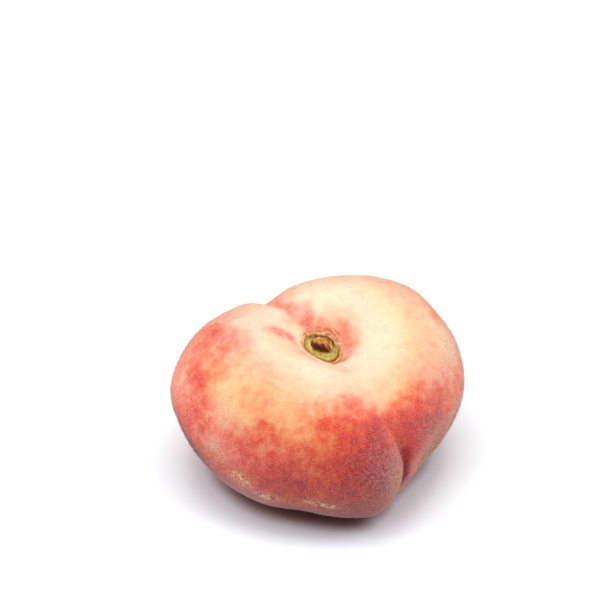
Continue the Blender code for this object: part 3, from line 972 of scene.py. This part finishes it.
bearing = np.arange(COLLAR_COLUMNS) / COLLAR_COLUMNS * 2 * pi
sine, cosine = np.sin(bearing), np.cos(bearing)
outer = SEAT_SHARE * around(FLOOR_RADIUS, bearing) - COLLAR_GAP
bore_x = BORE_CENTRE[0] + BORE_REACH[0] * sine
bore_y = BORE_CENTRE[1] - BORE_REACH[1] * cosine
profile = finer(COLLAR_PROFILE, PROFILE_STEPS)
collar_rings = []
for inward, height in profile:
    x = outer * sine + inward * (bore_x - outer * sine)
    y = inward * bore_y - (1 - inward) * outer * cosine
    collar_rings.append(leaning(x, y, height))
collar_rings = np.array(collar_rings)
upper = np.clip(profile[:, 1, None] - SMOOTH_BELOW, 0, 1)
collar_rings[..., 2] += COLLAR_LUMPS * upper * ripples(collar_rings, COLLAR_LUMP_SIZE, seed=31)
start = np.arange(collar_rings.shape[0] * COLLAR_COLUMNS).reshape(-1, COLLAR_COLUMNS)
beside, under = np.roll(start, -1, axis=1), np.roll(start, -1, axis=0)
opposite = np.roll(beside, -1, axis=0)
faces = np.stack([beside, opposite, under, start], -1).reshape(-1, 4).tolist()
collar = make_piece("collar_ring", collar_rings.reshape(-1, 3), faces)
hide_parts("stalk_collar")
# Where each point of the collar lies: its bearing as a sine and cosine, and its share inward
keep_places(collar, "collar_place",
            np.stack(np.broadcast_arrays(sine, cosine, profile[:, :1]), -1))

green, tree, surface = new_look("green stalk tissue")
where = put(tree, "ShaderNodeTexCoord").outputs["Object"]
place = put(tree, "ShaderNodeAttribute", attribute_name="collar_place").outputs["Vector"]
patchy = cloud(tree, where, 900.0, 4.0)[0]
uneven = swing(tree, patchy, 0.9)
colour = spread(tree, patchy, [
    (0.32, shade(150, 118, 42)), (0.5, shade(184, 154, 64)), (0.66, shade(210, 180, 94))])
green_left = reckon(tree, "ADD", ripening(tree, place, -0.1, STILL_GREEN), uneven, clamp=True)
pale = reckon(tree, "ADD", ripening(tree, place, -0.1, PALE_TISSUE), uneven, clamp=True)
colour = blend(tree, green_left, colour, shade(174, 172, 70))
colour = blend(tree, pale, colour, shade(232, 202, 116))
healed = put(tree, "ShaderNodeGroup", {"Unevenness": patchy}, node_tree=cork_group).outputs["Color"]
cork = reckon(tree, "ADD", ripening(tree, place, -0.25, CORKED_OVER), uneven, clamp=True)
brown = reckon(tree, "ADD", ripening(tree, place, -0.1, DRIED_BROWN), uneven, clamp=True)
colour = blend(tree, cork, colour, healed)
colour = blend(tree, brown, colour, shade(122, 72, 12))
tree.links.new(colour, surface.inputs["Base Color"])
roughen(tree, surface, cloud(tree, where, 3000.0, 3.0)[0], 0.5, 0.1 * MM)
# The green tissue is moist, the brown is dry
dryness = put(tree, "ShaderNodeMapRange", {"Value": brown, "To Min": 0.42, "To Max": 0.75})
tree.links.new(dryness.outputs[0], surface.inputs["Roughness"])
collar.data.materials.append(green)


# Woody stub.
# The torn core of the stalk, seated in the collar's bore: a rough plug of amber fibres that
# stands in a dark dried pit, darkened further with painted shade round the plug, with a thin
# tan rim round it.
STUB_GAP = 0.05
STUB_FOOT = -0.9
STUB_BEVEL = -0.86
STUB_LOWEST = -0.85
STUB_SKIRT = -0.45
STUB_COLUMNS = 160
PLUG_CENTRE = (0.15, 1.1)
PLUG_REACH = (1.75, 1.3)
PLUG_RISE = 1.1
PLUG_LUMPS = 0.18
LUMP_WAVES = (3.1, 2.7)
PIT_DEPTH = 0.35
RIM_RISE = 0.35
RIM_SHARE = 0.93
RIM_WIDTH = 0.05
# First and last share of the way out, and number, of the rows on the torn top
TORN_ROWS = (0.03, 1.0, 48)
# Roughness of the skirt, what the plug adds to it, and the fine splinters on the plug
SKIRT_ROUGHNESS, PLUG_ROUGHNESS, SPLINTERS = 0.05, 0.09, 0.05
TEAR_SIZE, SPLINTER_SIZE = 0.45, 0.2
# So wide that a spot's strength doesn't change with the rim's share
ANY_SPAN = 100.0
# Place to the right and back in millimetres, half width, strength
# Dark dried tissue, and painted shade in the pit round the plug
DRIED_PIT_AND_PAINTED_SHADE = [
    (-2.3, 1.1, 0.6, 1.3), (-1.7, 0.4, 0.6, 1.2), (-1.0, 0.1, 0.55, 0.9), (-0.1, -0.25, 0.4, 1.1),
    (0.7, -0.1, 0.5, 1.1), (1.6, -0.3, 0.5, 1.1), (2.2, 0.5, 0.45, 0.8), (1.5, 0.9, 0.4, 0.5),
    (1.8, 1.7, 0.3, 0.7), (0.2, 2.6, 0.25, 1.0), (1.8, 2.6, 0.4, 0.5), (-0.6, 1.3, 0.2, 0.5),
    (-1.8, 1.2, 0.3, 0.4), (0.3, 0.5, 0.45, 0.6), (2.1, 0.8, 0.3, 0.6), (-0.2, 1.0, 0.2, 0.3),
    (0.2, 1.8, 0.15, 0.4), (-2.2, 1.4, 0.3, 0.6), (-0.5, 0.25, 0.4, 0.7), (0.6, 0.2, 0.35, 0.5),
    (1.4, 0.1, 0.4, 0.5), (-1.2, 0.7, 0.35, 0.6),
]
PALE_FIBRE = [
    (-0.6, 2.9, 0.35, 1.8), (-0.62, 2.2, 0.3, 1.0), (-1.7, 2.1, 0.35, 1.1), (2.65, 0.8, 0.4, 0.9),
    (2.4, -0.2, 0.3, 0.4), (2.3, 1.8, 0.3, 0.6), (0.7, 1.7, 0.35, 0.6), (0.7, 2.4, 0.25, 0.5),
]


def stub_top(x, y):
    """Height of the torn stub's top, a skirt with a lumpy plug on it, and the plug's share."""
    away = np.hypot((x - PLUG_CENTRE[0]) / PLUG_REACH[0], (y - PLUG_CENTRE[1]) / PLUG_REACH[1])
    plug = np.exp(-away ** 4)
    lumps = PLUG_LUMPS * np.sin(LUMP_WAVES[0] * x + 1) * np.cos(LUMP_WAVES[1] * y)
    return STUB_SKIRT + (PLUG_RISE + lumps) * plug, plug


bearing = np.arange(STUB_COLUMNS) / STUB_COLUMNS * 2 * pi
stub_rings, places = [], []
for share in np.concatenate([np.linspace(*TORN_ROWS), [1.0, 1.0]]):
    x = BORE_CENTRE[0] + share * (BORE_REACH[0] - STUB_GAP) * np.sin(bearing)
    y = BORE_CENTRE[1] - share * (BORE_REACH[1] - STUB_GAP) * np.cos(bearing)
    top, plug = stub_top(x, y)
    rim = np.exp(-((share - RIM_SHARE) / RIM_WIDTH) ** 2)
    rough = np.stack([x, y, 0 * x], -1)
    top += RIM_RISE * rim - PIT_DEPTH * (1 - plug) * (1 - rim)
    top += (SKIRT_ROUGHNESS + PLUG_ROUGHNESS * plug) * ripples(rough, TEAR_SIZE, seed=41)
    top += SPLINTERS * plug * ripples(rough, SPLINTER_SIZE, seed=42)
    stub_rings.append(leaning(x, y, np.maximum(top, STUB_LOWEST)))
    places.append(np.stack([x, y, rim + 0 * x], -1))
# The last two rings carry the stub's side down to its foot
for ring, height in ((-2, STUB_BEVEL), (-1, STUB_FOOT)):
    stub_rings[ring] = leaning(x, y, height + 0 * x)
stub_rings, places = np.array(stub_rings), np.array(places)
bottom = leaning(*BORE_CENTRE, STUB_FOOT)
points, faces = closed_by_poles(stub_rings, stub_rings[0].mean(axis=0), bottom)
stub = make_piece("torn_stub", points, faces)
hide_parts("stalk_stub")
# Where each point of the stub lies: right, back, and its share of the rim
places = np.concatenate([places.reshape(-1, 3), [[*BORE_CENTRE, 0], [*BORE_CENTRE, 0]]])
keep_places(stub, "stub_place", places)


def stained(tree, place, level, spots):
    """Lays soft round spots over a level: place right and back, half width, strength."""
    for right, back, half_width, strength in spots:
        level = soft_patch(tree, place, level, (right, back, 0.0), half_width, ANY_SPAN, strength)
    return level


wood, tree, surface = new_look("torn stalk wood")
where = put(tree, "ShaderNodeTexCoord").outputs["Object"]
place = put(tree, "ShaderNodeAttribute", attribute_name="stub_place").outputs["Vector"]
patchy = cloud(tree, where, 1500.0, 4.0)[0]
uneven = swing(tree, patchy, 1.0)
colour = spread(tree, patchy, [
    (0.34, shade(190, 122, 46)), (0.5, shade(226, 164, 84)), (0.66, shade(250, 200, 124))])
# Dark dried tissue, with painted shade in the pit round the plug
dark = reckon(tree, "ADD", stained(tree, place, 0.0, DRIED_PIT_AND_PAINTED_SHADE), uneven, clamp=True)
pale = reckon(tree, "ADD", stained(tree, place, -0.1, PALE_FIBRE), uneven, clamp=True)
rim = put(tree, "ShaderNodeSeparateXYZ", {0: place}).outputs["Z"]
colour = blend(tree, dark, colour, shade(84, 38, 0))
colour = blend(tree, reckon(tree, "MULTIPLY", rim, 0.6), colour, shade(160, 114, 58))
colour = blend(tree, pale, colour, shade(250, 210, 156))
tree.links.new(colour, surface.inputs["Base Color"])
roughen(tree, surface, cloud(tree, where, 4000.0, 3.0)[0], 0.7, 0.1 * MM)
surface.inputs["Roughness"].default_value = 0.7
surface.inputs["Specular IOR Level"].default_value = 0.2
stub.data.materials.append(wood)


# Table, light and camera.
# A plain white table with a painted shadow where the fruit nearly touches it, under broad soft
# lights overhead and at both sides, with a weak one at the front left, in white surroundings,
# seen from the front at 38 degrees above the table.
TABLE_REACH = 1.5
floor_mesh = bpy.data.meshes.new("white_table")
corners = [(TABLE_REACH * x, TABLE_REACH * y, 0) for x, y in ((-1, -1), (1, -1), (1, 1), (-1, 1))]
floor_mesh.from_pydata(corners, [], [(0, 1, 2, 3)])
table_top = bpy.data.objects.new("white_table", floor_mesh)
bpy.context.collection.objects.link(table_top)
white, tree, surface = new_look("white table")
white.use_backface_culling = True
surface.inputs["Roughness"].default_value = 0.9
surface.inputs["Specular IOR Level"].default_value = 0.0
# The table looks whiter to the camera than what it throws back on the fruit, and a painted
# shadow darkens it where the fruit nearly touches it, dark and reddish right at the fruit
seen = put(tree, "ShaderNodeLightPath").outputs["Is Camera Ray"]
openness = put(tree, "ShaderNodeAmbientOcclusion", {"Distance": 0.006}, samples=16)
whiter_table_and_painted_shadow = spread(tree, openness.outputs["AO"], [
    (0.12, (0.16, 0.07, 0.07, 1.0)), (0.30, (0.28, 0.15, 0.15, 1.0)),
    (0.46, (0.68, 0.56, 0.56, 1.0)), (0.62, (1.0, 1.0, 1.0, 1.0))])
whiter_table_and_painted_shadow = blend(tree, 1.0, whiter_table_and_painted_shadow, (1.12, 1.14, 1.15, 1.0), "MULTIPLY")
# A wider painted shade round the fruit, cool in tint
wide = put(tree, "ShaderNodeAmbientOcclusion", {"Distance": 0.03}, samples=16)
tint = spread(tree, wide.outputs["AO"], [
    (0.26, (0.80, 0.82, 0.88, 1.0)), (0.42, (0.80, 0.83, 0.90, 1.0)),
    (0.56, (0.97, 1.05, 1.08, 1.0)), (0.75, (0.94, 1.0, 1.02, 1.0))])
whiter_table_and_painted_shadow = blend(tree, 1.0, whiter_table_and_painted_shadow, tint, "MULTIPLY")
tree.links.new(blend(tree, seen, (0.6, 0.6, 0.6, 1.0), whiter_table_and_painted_shadow), surface.inputs["Base Color"])
# From below the table is clear
below = put(tree, "ShaderNodeNewGeometry").outputs["Backfacing"]
let_through(tree, surface, reckon(tree, "MULTIPLY", below, seen))
floor_mesh.materials.append(white)

# The surroundings are white in the picture and give only a little light
world = bpy.data.worlds.new("white surroundings")
world.use_nodes = True
tree = world.node_tree
seen = put(tree, "ShaderNodeLightPath").outputs["Is Camera Ray"]
white_sky = blend(tree, seen, (0.03, 0.03, 0.03, 1.0), (1.0, 1.0, 1.0, 1.0))
tree.links.new(white_sky, tree.nodes["Background"].inputs["Color"])
bpy.context.scene.world = world

LIGHT_SIZE = 0.5
LIT_POINT = Vector((0.0, 0.0, 0.02))
# Place in metres, power in watts
LIGHTS = {
    "overhead light": ((0.0, 0.0, 0.75), 3.45),
    "left upper light": ((-0.5, -0.05, 0.5), 1.15),
    "right upper light": ((0.5, -0.05, 0.5), 1.25),
    "left lower light": ((-0.65, -0.05, 0.32), 2.3),
    "right lower light": ((0.65, -0.05, 0.32), 2.05),
    "front light": ((-0.5, -0.5, 0.3), 0.55),
}
for name, (place, power) in LIGHTS.items():
    light = bpy.data.lights.new(name, "AREA")
    light.shape = "SQUARE"
    light.size = LIGHT_SIZE
    light.energy = power
    lamp = bpy.data.objects.new(name, light)
    lamp.location = place
    lamp.rotation_euler = (LIT_POINT - Vector(place)).to_track_quat("-Z", "Y").to_euler()
    bpy.context.collection.objects.link(lamp)

ELEVATION = radians(38)
CAMERA_DISTANCE = 0.750
PIXELS_PER_METRE = 4260
# A point low in the socket, and the pixel of the picture where it is seen
SEEN_POINT = np.array([0.0, 0.0, FLOOR_HEIGHT * MM]) + stalk_axis
SEEN_AT = (321, 348)
FRAME_SIZE = 600
SENSOR_WIDTH = 36.0
focal = PIXELS_PER_METRE * CAMERA_DISTANCE
back = np.array([0.0, -np.cos(ELEVATION), np.sin(ELEVATION)])
up = np.array([0.0, np.sin(ELEVATION), np.cos(ELEVATION)])
right = np.array([1.0, 0.0, 0.0])
across = (SEEN_AT[0] - FRAME_SIZE / 2) / focal * CAMERA_DISTANCE
below = (SEEN_AT[1] - FRAME_SIZE / 2) / focal * CAMERA_DISTANCE
eye = SEEN_POINT + back * CAMERA_DISTANCE - right * across + up * below
camera_data = bpy.data.cameras.new("front camera")
camera_data.sensor_width = SENSOR_WIDTH
camera_data.lens = focal / FRAME_SIZE * SENSOR_WIDTH
camera = bpy.data.objects.new("front camera", camera_data)
camera.location = eye
camera.rotation_euler = Vector(-back).to_track_quat("-Z", "Y").to_euler()
bpy.context.collection.objects.link(camera)
bpy.context.scene.camera = camera
bpy.context.scene.view_settings.view_transform = "Standard"
bpy.context.scene.view_settings.look = "None"
